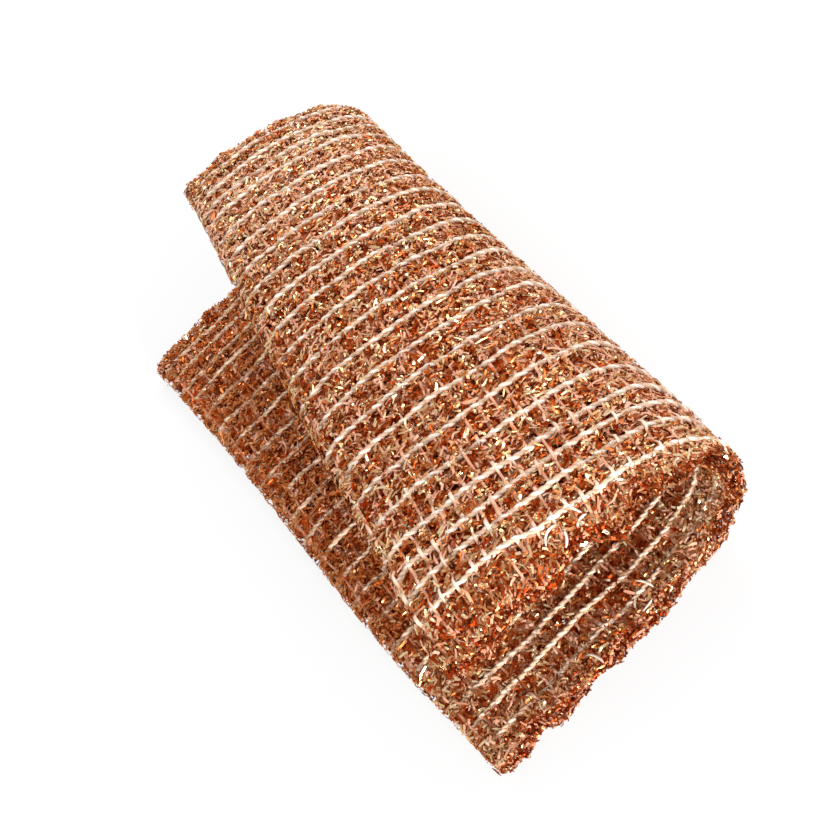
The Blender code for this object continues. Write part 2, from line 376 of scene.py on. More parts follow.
def rib_places():
    """Return v of each rib: closer together at both ends, and evenly spaced between."""
    close_width = CLOSE_RIB_COUNT * CLOSE_PITCH
    open_count = RIB_COUNT - 1 - 2 * CLOSE_RIB_COUNT
    open_pitch = (CLOTH_LENGTH - NEAR_MARGIN - FAR_MARGIN - 2 * close_width) / open_count
    places = [NEAR_MARGIN]
    for index in range(RIB_COUNT - 1):
        is_close = index < CLOSE_RIB_COUNT or index >= RIB_COUNT - 1 - CLOSE_RIB_COUNT
        places.append(places[-1] + (CLOSE_PITCH if is_close else open_pitch))
    return np.array(places)


RIBS = rib_places()


def rib_lean(u, v):
    """Return how far a rib at v leans towards the far end where it passes u."""
    from_edge = CLOTH_WRAP - u
    on_flap = np.interp(v, LEAN_PLACES, FOLD_LEAN) * rise(from_edge, 34 * MM, 18 * MM)
    on_flap = on_flap - np.interp(v, LEAN_PLACES, FLAP_LEAN) * rise(from_edge, 0.0, 32 * MM)
    below = rise(u, 45 * MM, 28 * MM)
    return on_flap * below + np.interp(v, LEAN_PLACES, LOWER_LEAN) * (1 - below)


def rib_v(layer, number, s):
    """Return v along one rib, which leans and wanders a little between the cross yarns."""
    u = layer.flat_u(s, RIBS[number])
    row = number * RIB_ROW_STEP + np.where(s > 0, 0.0, INNER_ROW_STEP)
    wander = RIB_WANDER_DEPTH * RIB_WANDER(u, row) + RIB_RIPPLE_DEPTH * RIB_RIPPLE(u, row)
    return RIBS[number] + rib_lean(u, RIBS[number]) + wander * rise(np.abs(s), 0.0, RIB_WANDER_FADE)


def rib_distance(layer, s, v):
    """Return how far each place on the tube is from its nearest rib, along v."""
    return np.min([np.abs(v - rib_v(layer, number, s)) for number in range(RIB_COUNT)], axis=0)


# Meshes


def quad_mesh(name, points, quads, tone, material):
    """Return an object made from an array of points, four-sided faces and a tone for each point."""
    mesh = bpy.data.meshes.new(name)
    mesh.vertices.add(len(points))
    mesh.vertices.foreach_set("co", np.ascontiguousarray(points, np.float32).ravel())
    mesh.loops.add(quads.size)
    mesh.loops.foreach_set("vertex_index", np.ascontiguousarray(quads, np.int32).ravel())
    mesh.polygons.add(len(quads))
    mesh.polygons.foreach_set("loop_start", np.arange(len(quads), dtype=np.int32) * 4)
    mesh.update(calc_edges=True)
    mesh.validate()
    attribute = mesh.attributes.new("tone", "FLOAT", "POINT")
    attribute.data.foreach_set("value", np.ascontiguousarray(tone, np.float32).ravel())
    mesh.materials.append(material)
    mesh.shade_smooth()
    obj = bpy.data.objects.new(name, mesh)
    bpy.context.scene.collection.objects.link(obj)
    return obj


def add_second_material(obj, material, is_second):
    """Give a mesh a second material on the faces where is_second is set."""
    obj.data.materials.append(material)
    obj.data.polygons.foreach_set("material_index", is_second.astype(np.int32))


def grid_quads(rows, columns, wrap=False):
    """Return the faces of a grid of vertices, closed round its columns if wrap is set."""
    index = np.arange(rows * columns).reshape(rows, columns)
    right = np.roll(index, -1, axis=1) if wrap else index[:, 1:]
    left = index if wrap else index[:, :-1]
    quads = np.stack([left[:-1], right[:-1], right[1:], left[1:]], axis=-1)
    return quads.reshape(-1, 4)


def many_grids(points, wrap=False):
    """Return one point list and one face list from an array of grids of points."""
    count, rows, columns = points.shape[:3]
    quads = grid_quads(rows, columns, wrap)
    starts = (np.arange(count) * rows * columns)[:, None, None]
    return points.reshape(-1, 3), (quads[None] + starts).reshape(-1, 4)


def ring_angles():
    """Return the angles of the points of one ring."""
    return np.linspace(0, 2 * math.pi, RING_SIDES, endpoint=False)


# Shapes of the strips


def curls(layer, s, v, h, look, steps):
    """Return the middle lines of curled strips on the tube, with directions across and upright.

    look holds arrays: length, angle in the surface, bend in the surface, bow outwards, tilt, twist,
    lift, which is how much the strip leans out of the surface, and overhang past the cut ends.
    """
    run = np.linspace(-0.5, 0.5, steps)[None, :]
    turn = look["bend"][:, None] * run
    length = look["length"][:, None]
    bend = np.where(np.abs(look["bend"]) < 1e-3, 1e-3, look["bend"])[:, None]
    forward = length * np.sin(turn) / bend
    sideways = length * (1 - np.cos(turn)) / bend
    rising = look["bow"][:, None] * (0.5 - 4 * run ** 2) + look["lift"][:, None] * run * length
    cos_a, sin_a = np.cos(look["angle"])[:, None], np.sin(look["angle"])[:, None]
    in_s = forward * cos_a - sideways * sin_a
    in_v = forward * sin_a + sideways * cos_a
    at_s, at_v = s[:, None] + in_s, v[:, None] + in_v
    ragged = look["overhang"][:, None]
    short = layer.near_line(at_s) - ragged - at_v
    at_v = at_v + np.maximum(short.max(axis=1, keepdims=True), 0.0)
    beyond = at_v - layer.far_line(at_s) - ragged
    at_v = at_v - np.maximum(beyond.max(axis=1, keepdims=True), 0.0)
    at_h = np.maximum(h[:, None] + rising, 0.1 * MM)
    centre = layer.points(at_s, at_v, at_h)
    outward = unit(layer.points(at_s, at_v, at_h + NORMAL_STEP) - centre)
    ahead = unit(np.gradient(centre, axis=1))
    across = unit(np.cross(ahead, outward))
    upright = np.cross(across, ahead)
    roll = (look["tilt"][:, None] + look["twist"][:, None] * run)[..., None]
    turned = np.cos(roll) * across + np.sin(roll) * upright
    return centre, turned, np.cross(turned, ahead), run


def ribbons(layer, s, v, h, look):
    """Return grids of points for flat curled strips of tinsel on the tube."""
    centre, across, _, run = curls(layer, s, v, h, look, RIBBON_STEPS)
    taper = 1.0 - RIBBON_TAPER * (2 * run) ** 4
    half = look["width"][:, None, None] / 2 * taper[..., None]
    grid = np.stack([centre - across * half, centre + across * half], axis=2)
    grid[..., 2] = np.maximum(grid[..., 2], ABOVE_FLOOR)
    return grid


def clustered(rng, count, values, spread):
    """Return values that are shared by clusters of strips, each with its own small difference."""
    shared = np.repeat(values[: count // CLUSTER + 1], CLUSTER)[:count]
    return shared + rng.normal(0, spread, count)


def ribbon_look(rng, count, scale=1.0):
    """Return random shapes for strips of tinsel; the strips of a cluster lie side by side."""
    angle = rng.uniform(0, 2 * math.pi, count)
    bend = rng.normal(0, 0.5, count)
    return {
        "length": rng.gamma(5.0, 0.25, count) * MM * scale,
        "width": rng.uniform(0.22, 0.50, count) * MM,
        "angle": clustered(rng, count, angle, 0.28),
        "bend": clustered(rng, count, bend, 0.4),
        "bow": rng.normal(0.08, 0.20, count) * MM * scale,
        "tilt": rng.normal(0, 0.6, count),
        "twist": rng.normal(0, 0.9, count),
        "lift": rng.normal(0, 0.09, count),
        "overhang": rng.normal(-0.25, 0.25, count) * MM,
    }


def tinsel_tones(rng, count, h):
    """Return how bright each strip is, with painted shade that darkens strips deep in the cloth, and
    painted glints: a few strips at random given a pale tone.
    """
    tone = clustered(rng, count, rng.beta(1.7, 2.15, count), 0.12)
    # Painted shade: strips that lie deeper in the cloth are made darker
    tone = tone + (h / MM - 1.6) * 0.14
    # Painted glints: a few strips at random get a pale tone
    painted_glints = rng.uniform(0, 1, count) < PAINTED_GLINT_SHARE
    return np.clip(np.where(painted_glints, rng.uniform(0.85, 1.0, count), tone), 0.0, 1.0)


def thin_spots(layer, s, v):
    """Return how thin the tinsel is at places on the tube: patches over THIN_LEVEL show the web."""
    return THIN_NOISE[layer.name](s, v)


# Materials


def new_material(name):
    """Return a material, its nodes, its links and its main shader."""
    material = bpy.data.materials.new(name)
    material.use_nodes = True
    nodes, links = material.node_tree.nodes, material.node_tree.links
    return material, nodes, links, nodes["Principled BSDF"]


def noise_node(nodes, links, coordinates, scale, detail=2.0):
    """Return the value of a noise texture on the object's own coordinates."""
    noise = nodes.new("ShaderNodeTexNoise")
    noise.inputs["Scale"].default_value = scale
    noise.inputs["Detail"].default_value = detail
    links.new(coordinates.outputs["Object"], noise.inputs["Vector"])
    return noise.outputs["Fac"]


def flake_node(nodes, links, coordinates, scale):
    """Return a texture of small flat flakes, each with its own random value."""
    flakes = nodes.new("ShaderNodeTexVoronoi")
    flakes.inputs["Scale"].default_value = scale
    links.new(coordinates.outputs["Object"], flakes.inputs["Vector"])
    return flakes


def tone_node(nodes):
    """Return the value that each mesh keeps for its points under the name tone."""
    attribute = nodes.new("ShaderNodeAttribute")
    attribute.attribute_name = "tone"
    return attribute.outputs["Fac"]


def ramp_node(nodes, links, value, stops):
    """Return the colour that a ramp with the given (place, colour) stops gives for a value."""
    ramp = nodes.new("ShaderNodeValToRGB")
    elements = ramp.color_ramp.elements
    while len(elements) < len(stops):
        elements.new(0.5)
    for element, (position, colour) in zip(elements, stops):
        element.position = position
        element.color = (*colour, 1.0)
    links.new(value, ramp.inputs["Fac"])
    return ramp.outputs["Color"]


def math_node(nodes, links, operation, *values):
    """Return the result of a Math node whose inputs are other nodes' results or plain numbers."""
    node = nodes.new("ShaderNodeMath")
    node.operation = operation
    for socket, value in zip(node.inputs, values):
        if isinstance(value, bpy.types.NodeSocket):
            links.new(value, socket)
        else:
            socket.default_value = value
    return node.outputs[0]


def range_node(nodes, links, value, highest, to_low, to_high):
    """Return a value moved from the range 0 to highest to the range to_low to to_high."""
    node = nodes.new("ShaderNodeMapRange")
    node.inputs["From Max"].default_value = highest
    node.inputs["To Min"].default_value = to_low
    node.inputs["To Max"].default_value = to_high
    links.new(value, node.inputs["Value"])
    return node.outputs["Result"]


def add_bump(nodes, links, shader, height, strength, distance):
    """Roughen a shader's surface by a height value."""
    bump = nodes.new("ShaderNodeBump")
    bump.inputs["Strength"].default_value = strength
    bump.inputs["Distance"].default_value = distance
    links.new(height, bump.inputs["Height"])
    links.new(bump.outputs["Normal"], shader.inputs["Normal"])


FLAKE_SCALE = 1900.0
GRAIN_SCALE = 1300.0
CRINKLE_SCALE = 2600.0
WEAR_SCALE = 700.0
GRAIN_DEPTH = 0.55
COPPER_TINT = (1.0, 0.62, 0.38, 1.0)
DULLED_TONE = 0.8
DARK_ROUGHNESS = 0.25


def tinsel_material(name, stops, metallic, roughness, flaky):
    """Return the metal of the tinsel: tone chooses the colour, and noise or flakes break it up."""
    material, nodes, links, shader = new_material(name)
    coordinates = nodes.new("ShaderNodeTexCoord")
    if flaky:
        flakes = flake_node(nodes, links, coordinates, FLAKE_SCALE)
        grain, crinkle = flakes.outputs["Color"], flakes.outputs["Distance"]
        add_bump(nodes, links, shader, crinkle, 1.0, 0.3 * MM)
    else:
        grain = noise_node(nodes, links, coordinates, GRAIN_SCALE)
        crinkle = noise_node(nodes, links, coordinates, CRINKLE_SCALE)
        add_bump(nodes, links, shader, crinkle, 0.5, 0.08 * MM)
    shade = math_node(nodes, links, "MULTIPLY_ADD", grain, GRAIN_DEPTH, -GRAIN_DEPTH / 2)
    tone = math_node(nodes, links, "ADD", tone_node(nodes), shade)
    links.new(ramp_node(nodes, links, tone, stops), shader.inputs["Base Color"])
    shader.inputs["Metallic"].default_value = metallic
    shader.inputs["Specular Tint"].default_value = COPPER_TINT
    wear = noise_node(nodes, links, coordinates, WEAR_SCALE)
    polish = range_node(nodes, links, wear, 1.0, *roughness)
    duller = range_node(nodes, links, tone, DULLED_TONE, DARK_ROUGHNESS, 0.0)
    links.new(math_node(nodes, links, "ADD", polish, duller), shader.inputs["Roughness"])
    return material


def yarn_material(name, pale, dull, tint_and_painted_shade):
    """Return the white yarn: fine fibres, uneven in colour, mixed towards a copper colour where tone is
    low; that colour is partly the fibres' copper tint and partly painted shade and painted copper
    reflection.
    """
    material, nodes, links, shader = new_material(name)
    coordinates = nodes.new("ShaderNodeTexCoord")
    patches = noise_node(nodes, links, coordinates, 900.0)
    mix = nodes.new("ShaderNodeMix")
    mix.data_type = "RGBA"
    # Where tone is low the yarn takes this copper colour: painted shade and painted copper reflection on
    # the cloth's inner side, a copper tint on the fibres
    mix.inputs["A"].default_value = (*tint_and_painted_shade, 1.0)
    links.new(tone_node(nodes), mix.inputs["Factor"])
    links.new(ramp_node(nodes, links, patches, ((0.32, dull), (0.62, pale))), mix.inputs["B"])
    links.new(mix.outputs["Result"], shader.inputs["Base Color"])
    shader.inputs["Roughness"].default_value = 0.55
    shader.inputs["Specular IOR Level"].default_value = 0.25
    fibres = noise_node(nodes, links, coordinates, 4200.0, 3.0)
    add_bump(nodes, links, shader, fibres, 0.45, 0.06 * MM)
    return material


COPPER_STOPS = (
    (0.0, (0.34, 0.028, 0.002)),
    (0.20, (0.43, 0.066, 0.010)),
    (0.38, (0.53, 0.138, 0.032)),
    (0.54, (0.64, 0.25, 0.092)),
    (0.69, (0.74, 0.40, 0.19)),
    (0.84, (0.87, 0.57, 0.29)),
    (1.0, (0.97, 0.76, 0.47)),
)
WEB_STOPS = (
    (0.0, (0.60, 0.048, 0.003)),
    (0.30, (0.68, 0.115, 0.016)),
    (0.55, (0.72, 0.23, 0.075)),
    (0.72, (0.74, 0.38, 0.23)),
    (1.0, (0.84, 0.54, 0.39)),
)
tinsel_metal = tinsel_material("copper_tinsel_strips", COPPER_STOPS, 0.95, (0.16, 0.38), False)
base_metal = tinsel_material("copper_tinsel_web", WEB_STOPS, 0.75, (0.25, 0.5), True)
# The last colour of each yarn is its copper tint and painted shade
bright_yarn = yarn_material("white_yarn_bright", (0.92, 0.81, 0.71), (0.81, 0.62, 0.49), (0.72, 0.48, 0.30))
dull_yarn = yarn_material("white_yarn_dull", (0.70, 0.49, 0.35), (0.54, 0.34, 0.22), (0.60, 0.39, 0.23))
fine_yarn = yarn_material("white_yarn_fine", (0.95, 0.78, 0.63), (0.90, 0.64, 0.47), (0.79, 0.34, 0.18))


# The web and the strips


def add_sheet(layer, seed):
    """Return the open web of tinsel that one half of the tube is knitted from."""
    lift = smooth_noise(seed, 2.4 * MM)
    ruffle = smooth_noise(seed + 1, 6 * MM)
    gaps = smooth_noise(seed + 3, 2.0 * MM)
    columns = int(round(2 * float(layer.reach(np.array(CLOTH_LENGTH / 2))) / WEB_CELL))
    rows = int(round(CLOTH_LENGTH / WEB_CELL))
    share = np.linspace(-1.0, 1.0, columns + 1)[None, :]
    row = np.linspace(0.0, 1.0, rows + 1)[:, None]
    s = share * layer.reach(row * CLOTH_LENGTH)
    low, high = layer.near_line(s) + WEB_MARGIN, layer.far_line(s) - WEB_MARGIN
    v = low + row * (high - low)
    h = WEB_HEIGHT + WEB_LIFT * lift(s, v) + WEB_RUFFLE * ruffle(s, v)
    points = layer.points(s, v, np.clip(h, WEB_LOWEST, WEB_HIGHEST))
    quads = grid_quads(rows + 1, columns + 1)
    open_cell = gaps(s, v)[:-1, :-1].ravel() > OPEN_CELL_LEVEL
    used, flat = np.unique(quads[~open_cell], return_inverse=True)
    tone = web_tones(np.random.default_rng(seed + 4), layer, s, v, low)
    name = f"{layer.name}_web"
    return quad_mesh(name, points.reshape(-1, 3)[used], flat.reshape(-1, 4), tone.ravel()[used], base_metal)


def web_tones(rng, layer, s, v, low):
    """Return how bright the web is: pale where the strips are thin and along the near edge, low."""
    thin = np.clip((thin_spots(layer, s, v) - 0.30) / 0.30, 0.0, 1.0)
    thin = np.maximum(thin, 0.7 * fall(v - low, 3 * MM, 3 * MM))
    return rng.uniform(0.05, 0.45, thin.shape) * (1 - thin) + rng.uniform(0.7, 1.0, thin.shape) * thin


def scatter_strips(rng, layer, side):
    """Return the places of the strips on one face, and how far each is from a rib."""
    count = RIBBONS_PER_FACE
    down = clustered(rng, count, rng.uniform(0.0, 1.0, count), 0.0)
    share = clustered(rng, count, rng.uniform(0.0, 1.0, count), 0.0)
    s = share * layer.reach(down * CLOTH_LENGTH) * side
    near, far = layer.near_line(s), layer.far_line(s)
    v = near + down * (far - near) + rng.normal(0, RIBBON_SCATTER, count)
    s = s + rng.normal(0, RIBBON_SCATTER, count)
    h = rng.triangular(*RIBBON_HEIGHTS, count) * MM
    h = np.minimum(h, EDGE_TOP + (FACE_TOP - EDGE_TOP) * rise(np.abs(s), 0.0, EDGE_ZONE))
    from_rib = rib_distance(layer, s, v)
    h = np.maximum(h - RIB_DIP * fall(from_rib, 1.05 * MM, 0.7 * MM), RIBBON_LOWEST)
    if layer is LOWER and side > 0:
        h = np.minimum(h, RIBBON_FLOOR_LIMIT)
    kept = (thin_spots(layer, s, v) < THIN_LEVEL) | (rng.uniform(0, 1, count) < THIN_KEPT)
    return s[kept], v[kept], h[kept], from_rib[kept]


def by_yarn(s):
    """Return a wave round the tube that is 1 over each cross yarn and -1 halfway between."""
    return np.cos(2 * math.pi * s / YARN_PITCH)


def painted_light_wall(u, v):
    """Return 1 inside the roll near its mouth, where the cloth climbs to the fold, and 0 elsewhere: the
    place where painted light, as if shining through the cloth, is added.
    """
    return rise(u, 42 * MM, 12 * MM) * fall(v, 36 * MM, 20 * MM)


def painted_highlight_bend(u, v):
    """Return 1 on the outside of the bend near the mouth, where a painted highlight is added, and 0
    elsewhere.
    """
    return fall(u, 90 * MM, 20 * MM) * fall(v, 85 * MM, 30 * MM)


def fibre_share(layer, side, s, v):
    """Return which share of the strips at places on one face are white fibres."""
    u = layer.flat_u(s, v)
    share = (FIBRE_SHARE if side > 0 else 0.5 * FIBRE_SHARE) * (1 + by_yarn(s))
    share = share + 0.40 * rise(thin_spots(layer, s, v), 0.2, 0.3)
    if layer is LOWER and side < 0:
        # Painted light: on the lower layer's inner side, more pale fibres near the mouth and on the wall
        # inside the mouth
        share = share - 0.04 + 0.05 * fall(v, 22 * MM, 16 * MM) + 0.09 * painted_light_wall(u, v)
    if layer is FLAP and side > 0:
        # Painted light: more pale fibres towards the far end and on the lit bend, a few less at the near
        # end
        share = share + 0.16 * rise(v, 75 * MM, 45 * MM)
        share = share + 0.34 * painted_highlight_bend(u, v) - 0.03 * fall(v, 26 * MM, 12 * MM)
    return share


def face_tones(layer, side, s, v, from_rib, tone):
    """Return the strips' tones on one face: paler by the yarns and ribs, with painted light at the free
    edges, by the mouth and on the lit bend and far end, and painted shade inside the tube and on the flap's
    near half.
    """
    u = layer.flat_u(s, v)
    tone = tone + 0.10 * by_yarn(s) + 0.10 * fall(from_rib, 1.6 * MM, 1.0 * MM)
    # Painted light: paler near the free edges of the tube
    tone = tone + 0.10 * fall(np.abs(s), 5 * MM, 5 * MM)
    if layer is LOWER and side < 0:
        # Painted shade: the lower layer's inner side is darkened, and flattened towards one dull tone
        # further from the mouth (plain is the share of this painted soft shade); the wall inside the mouth
        # gets painted light
        plain = 0.6 * rise(v, 22 * MM, 24 * MM)
        tone = (tone + 0.20 * painted_light_wall(u, v) - 0.06) * (1 - plain) + 0.38 * plain
        # Painted light: paler near the mouth, where the light gets in
        tone = tone + 0.09 * fall(v, 45 * MM, 20 * MM)
    elif side < 0:
        # Painted shade: darker on the inner side of the flap
        tone = tone - 0.06
    elif layer is FLAP:
        # Painted shade on the flap's near half, and a painted highlight on the bend by the mouth
        tone = tone - 0.05 * fall(v, 80 * MM, 40 * MM) + 0.26 * painted_highlight_bend(u, v)
        # Painted light: paler towards the far end
        tone = tone + 0.18 * rise(v, 80 * MM, 45 * MM)
    return tone


def add_face_tinsel(layer, side, seed):
    """Return the curled strips on one face of one half of the tube."""
    rng = np.random.default_rng(seed)
    s, v, h, from_rib = scatter_strips(rng, layer, side)
    count = len(s)
    look = ribbon_look(rng, count)
    loose = EDGE_LOOSENESS + (1 - EDGE_LOOSENESS) * rise(np.abs(s), 0.0, EDGE_ZONE)
    for part in ("tilt", "bow", "lift", "twist"):
        look[part] = look[part] * loose
    chance = clustered(rng, count, rng.uniform(0, 1, count), 0.0)
    fibre = chance < fibre_share(layer, side, s, v)
    tone = face_tones(layer, side, s, v, from_rib, tinsel_tones(rng, count, h))
    name = f"{layer.name}_tinsel_{'outer' if side > 0 else 'inner'}"
    return add_strips(name, layer, s, v, h, look, tone, fibre)


def add_fringe(layer, end, seed):
    """Return the loose curls along one cut end of one half of the tube."""
    rng = np.random.default_rng(seed)
    count = FRINGE_RIBBONS
    is_near = end == "near"
    share = rng.uniform(-1.0, 1.0, count)
    s = share * layer.reach(np.full(count, 0.0 if is_near else CLOTH_LENGTH))
    inside = rng.uniform(0.0, 1.0, count) ** FRINGE_CROWDING * FRINGE_DEPTH
    v = layer.near_line(s) + inside if is_near else layer.far_line(s) - inside
    h = rng.uniform(0.2, 2.4, count) * MM
    look = ribbon_look(rng, count, FRINGE_SCALE)
    look["bend"] = rng.normal(0, 0.9, count)
    tone = tinsel_tones(rng, count, h)
    if is_near:
        tone = tone + 0.16 * rise(np.abs(share), 0.5, 0.3)
    fibres = LOWER_NEAR_FIBRES if layer is LOWER and is_near else FRINGE_FIBRES
    fibre = rng.uniform(0, 1, count) < fibres
    return add_strips(f"{layer.name}_fringe_{end}", layer, s, v, h, look, tone, fibre)


def add_strips(name, layer, s, v, h, look, tone, fibre):
    """Return an object of many strips, of tinsel or, where fibre is set, of loose yarn fibres."""
    look["width"] = np.where(fibre, FIBRE_WIDTH * look["width"], look["width"])
    look["tilt"] = np.where(fibre, FIBRE_TILT * look["tilt"], look["tilt"])
    tone = np.where(fibre, FIBRE_TONE * tone, tone)
    points, quads = many_grids(ribbons(layer, s, v, h, look))
    obj = quad_mesh(name, points, quads, np.repeat(tone, 2 * RIBBON_STEPS), tinsel_metal)
    add_second_material(obj, fine_yarn, np.repeat(fibre, RIBBON_STEPS - 1))
    return obj


# Cords and yarns


def strand(layer, s, v, h, angle, offset, radius):
    """Return rings of points for one strand that winds round a path on the tube."""
    point, _, along_v, outward = layer.frames(s, v, h)
    around = ring_angles()[None, :]
    in_v = (offset * np.cos(angle))[:, None] + radius[:, None] * np.cos(around)
    in_h = (offset * np.sin(angle))[:, None] + radius[:, None] * np.sin(around)
    return (
        point[:, None]
        + in_v[..., None] * along_v[:, None]
        + in_h[..., None] * outward[:, None]
    )


def cord_twist(layer, s, reach, slack):
    """Return the angle of a cord's first strand, with whole turns between its edge and the fold."""
    turns = np.abs(s) / YARN_PITCH
    missing = round(reach / YARN_PITCH) - reach / YARN_PITCH
    turns = turns + missing * rise(np.abs(s) / reach, 0.6, 0.4)
    angle = -layer.direction * np.sign(s) * 2 * math.pi * turns
    return angle + math.pi / 2 + 0.35 * slack(s * 0.5, 0.1)


def add_cord(layer, number):
    """Return one white cord of two twisted strands, round one half of the tube."""
    reach = float(layer.reach(RIBS[number]))
    steps = int(round(2 * reach / CORD_STEP))
    s = np.linspace(-reach, reach, steps + 1)
    slack = smooth_noise(300 + number, 9 * MM)
    v = rib_v(layer, number, s)
    angle = cord_twist(layer, s, reach, slack)
    outer = rise(s, -EDGE_RUN, 2 * EDGE_RUN)
    sunk = 0.4 + 0.6 * rise(v, 20 * MM, 20 * MM) if layer is LOWER else 1.0
    h = CORD_HEIGHT - INNER_CORD_DROP * (1 - outer) * sunk
    h = h - EDGE_CORD_DROP * (1 - rise(np.abs(s), 1 * MM, 6 * MM))
    h = h + CORD_SLACK * slack(layer.flat_u(s, RIBS[number]), np.sign(s) * 0.2)
    grids = []
    for phase, offset, thickness in zip((0.0, math.pi), STRAND_OFFSETS, STRAND_RADII):
        radius = thickness * (1.0 + 0.14 * slack(s, phase))
        grids.append(strand(layer, s, v, h, angle + phase, offset, radius))
    points, quads = many_grids(np.stack(grids), wrap=True)
    points[:, 2] = np.maximum(points[:, 2], 0.0)
    # Painted shade: the cords' inner side takes the yarn's darker copper colour, less so on the lower layer
    # near the mouth where light gets in
    inner_shade_tone = 0.3 + 0.3 * fall(v, 34 * MM, 22 * MM) if layer is LOWER else 0.2
    tone = np.tile(np.repeat(outer + (1 - outer) * inner_shade_tone, RING_SIDES), 2)
    obj = quad_mesh(f"{layer.name}_cord_{number + 1:02d}", points, quads, tone, bright_yarn)
    add_second_material(obj, dull_yarn, np.arange(len(quads)) >= len(quads) // 2)
    return obj


def yarn_boldness(layer, side, v):
    """Return how white and how high the cross yarns stand at v: most near the mouth."""
    if layer is FLAP and side > 0:
        return np.clip(1.15 - v / (42 * MM), 0.0, 0.9)
    if layer is LOWER and side < 0:
        return np.clip(1.6 - v / (9 * MM), 0.0, 0.8)
    return np.zeros_like(v)


def yarn_rings(layer, s, v, h, radius, angle):
    """Return rings of points round a flat yarn that runs along v."""
    point, along_s, _, outward = layer.frames(s, v, h)
    around = ring_angles()[None, :]
    wide, high = radius[:, None] * np.cos(around), 0.5 * radius[:, None] * np.sin(around)
    cos_a, sin_a = np.cos(angle)[:, None], np.sin(angle)[:, None]
    return (
        point[:, None]
        + (wide * cos_a - high * sin_a)[..., None] * along_s[:, None]
        + (wide * sin_a + high * cos_a)[..., None] * outward[:, None]
    )


def one_yarn(rng, layer, side, start, share, wander, depth):
    """Return the rings and the tones of one cross yarn, which stands up where it passes a cord."""
    low = float(layer.near_line(np.array(side * start))) + YARN_NEAR_MARGIN
    high = float(layer.far_line(np.array(side * start))) - YARN_FAR_MARGIN
    v = low + share * (high - low)
    s = side * (start + YARN_WANDER * wander(v, start * 3 + side))
    ribs = np.array([rib_v(layer, number, s) for number in range(RIB_COUNT)])
    offset = np.abs(v - CROSSING_SHIFT - ribs)
    over = np.exp(-((offset.min(axis=0) / YARN_CROSSING) ** 4))
    bold = yarn_boldness(layer, side, v) * rng.uniform(0.25, 1.1, RIB_COUNT)[offset.argmin(axis=0)]
    bold = np.clip(bold, 0.0, 1.0)
    base = 1.75 - 0.35 * rise(v, 28 * MM, 25 * MM) if side > 0 else 1.35
    h = base + 0.25 * depth(v, start * 5 + side) + bold * (over - 0.25)
    h = np.clip(h * MM, YARN_LOWEST, YARN_HIGHEST)
    radius = YARN_WIDTH * (0.85 + 0.15 * bold + 0.18 * wander(v * 3, start))
    angle = 0.3 * wander(v * 2, start + 0.1)
    tone = (0.12 if side > 0 else 0.0) + 1.1 * bold * over
    tone = np.repeat(np.clip(tone, 0.0, 1.0), RING_SIDES)
    return yarn_rings(layer, s, v, h, radius, angle), tone


def add_yarns(layer, seed):
    """Return the thin yarns that run lengthwise under the tinsel and over the cords."""
    rng = np.random.default_rng(seed)
    wander = smooth_noise(seed + 1, 14 * MM)
    depth = smooth_noise(seed + 2, 7 * MM)
    reach = float(layer.reach(np.array(0.0)))
    share = np.linspace(0.0, 1.0, int(round(CLOTH_LENGTH / YARN_STEP)) + 1)
    grids, tones = [], []
    for side in (1, -1):
        for start in np.arange(YARN_PITCH, reach - 1.0 * MM, YARN_PITCH):
            rings, tone = one_yarn(rng, layer, side, start, share, wander, depth)
            grids.append(rings)
            tones.append(tone)
    points, quads = many_grids(np.stack(grids), wrap=True)
    points[:, 2] = np.maximum(points[:, 2], 0.0)
    name = f"{layer.name}_cross_yarns"
    return quad_mesh(name, points, quads, np.concatenate(tones), fine_yarn)


def add_loose_ends(layer, seed):
    """Return short white ends and loops of yarn that stand out of the cut near end."""
    rng = np.random.default_rng(seed)
    count = LOOSE_ENDS
    s = rng.uniform(-0.95, 0.95, count) * layer.reach(np.zeros(count))
    v = layer.near_line(s) + rng.uniform(0.3, 4.5, count) * MM
    h = rng.uniform(1.9, 2.7, count) * MM
    look = {
        "length": rng.uniform(2.5, 5.0, count) * MM,
        "angle": rng.uniform(0, 2 * math.pi, count),
        "bend": rng.normal(0, 1.5, count),
        "bow": rng.uniform(0.0, 0.5, count) * MM,
        "tilt": np.zeros(count),
        "twist": np.zeros(count),
        "lift": rng.normal(0, 0.12, count),
        "overhang": np.full(count, 0.5 * MM),
    }
    centre, across, upright, run = curls(layer, s, v, h, look, LOOSE_END_STEPS)
    around = ring_angles()
    radius = LOOSE_END_RADIUS * (1.0 - 0.6 * np.abs(2 * run) ** 3)[..., None, None]
    rings = (
        centre[:, :, None]
        + radius * np.cos(around)[:, None] * across[:, :, None]
        + radius * np.sin(around)[:, None] * upright[:, :, None]
    )
    rings[..., 2] = np.maximum(rings[..., 2], ABOVE_FLOOR)
    points, quads = many_grids(rings, wrap=True)
    return quad_mesh(f"{layer.name}_loose_ends", points, quads, np.ones(len(points)), bright_yarn)


# Placing the pieces


def follow(piece):
    """Bake a piece's placement into its mesh."""
    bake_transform(piece)


# The cloth


for layer_index, layer in enumerate(LAYERS):
    seed = 100 * (layer_index + 1)
    web = add_sheet(layer, seed)
    strips = [add_face_tinsel(layer, side, seed + 20 + side) for side in (1, -1)]
    strips += [add_fringe(layer, end, seed + 40 + i) for i, end in enumerate(("near", "far"))]
    cords = [add_cord(layer, number) for number in range(RIB_COUNT)]
    yarns = add_yarns(layer, seed + 60)
    ends = add_loose_ends(layer, seed + 80)
    for piece in [web, *strips]:
        follow(piece)
    for piece in [*cords, yarns, ends]:
        follow(piece)
    flat_width = 2 * float(layer.reach(np.array(CLOTH_LENGTH / 2)))
    if layer is LOWER:
        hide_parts("lower_tube", "fold_outer_ply")
        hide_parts("fold_outer_net")
    else:
        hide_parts("flap_tube", "fold_inner_ply")
        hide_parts("fold_inner_net")
    for number, cord in enumerate(cords, start=1):
        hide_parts(f"{layer.name}_rib_{number:02d}")


# Floor, light and camera


